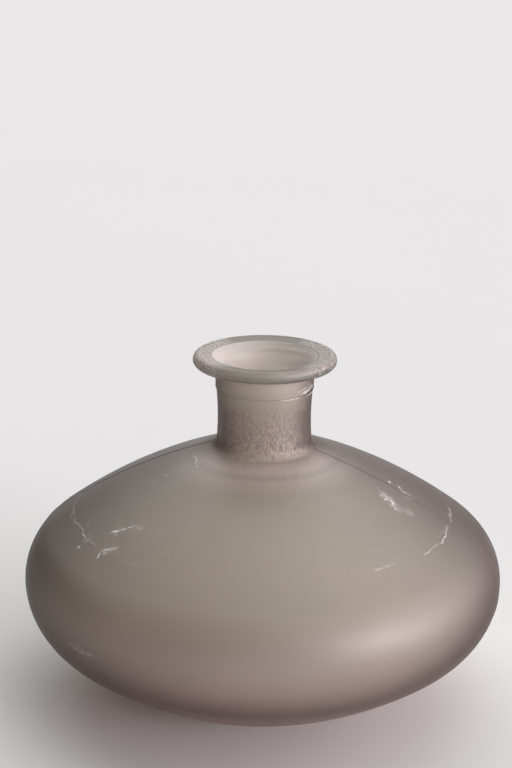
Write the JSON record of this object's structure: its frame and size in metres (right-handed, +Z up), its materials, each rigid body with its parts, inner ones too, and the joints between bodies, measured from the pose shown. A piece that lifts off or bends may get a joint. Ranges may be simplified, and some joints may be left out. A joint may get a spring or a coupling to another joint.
{
  "type": "bud vase",
  "caption": "Squat round bud vase of frosted smoke-brown glass, with a short narrow neck, a flanged lip, a hollow body and a flat foot ring.",
  "frame": {"origin": "on the table, under the middle of the foot ring", "axes": "+Z up along the axis of the body, the neck and the mouth"},
  "size_m": [0.15, 0.15, 0.1092],
  "materials": {
    "frosted_glass": "satin frosted, smoke brown"
  },
  "bodies": {
    "root": {"lip_ring": "frosted_glass", "collar": "frosted_glass", "neck": "frosted_glass", "neck_root": "frosted_glass", "shoulder": "frosted_glass", "upper_waist": "frosted_glass", "lower_waist": "frosted_glass", "belly": "frosted_glass", "base": "frosted_glass"}
  },
  "joints": []
}
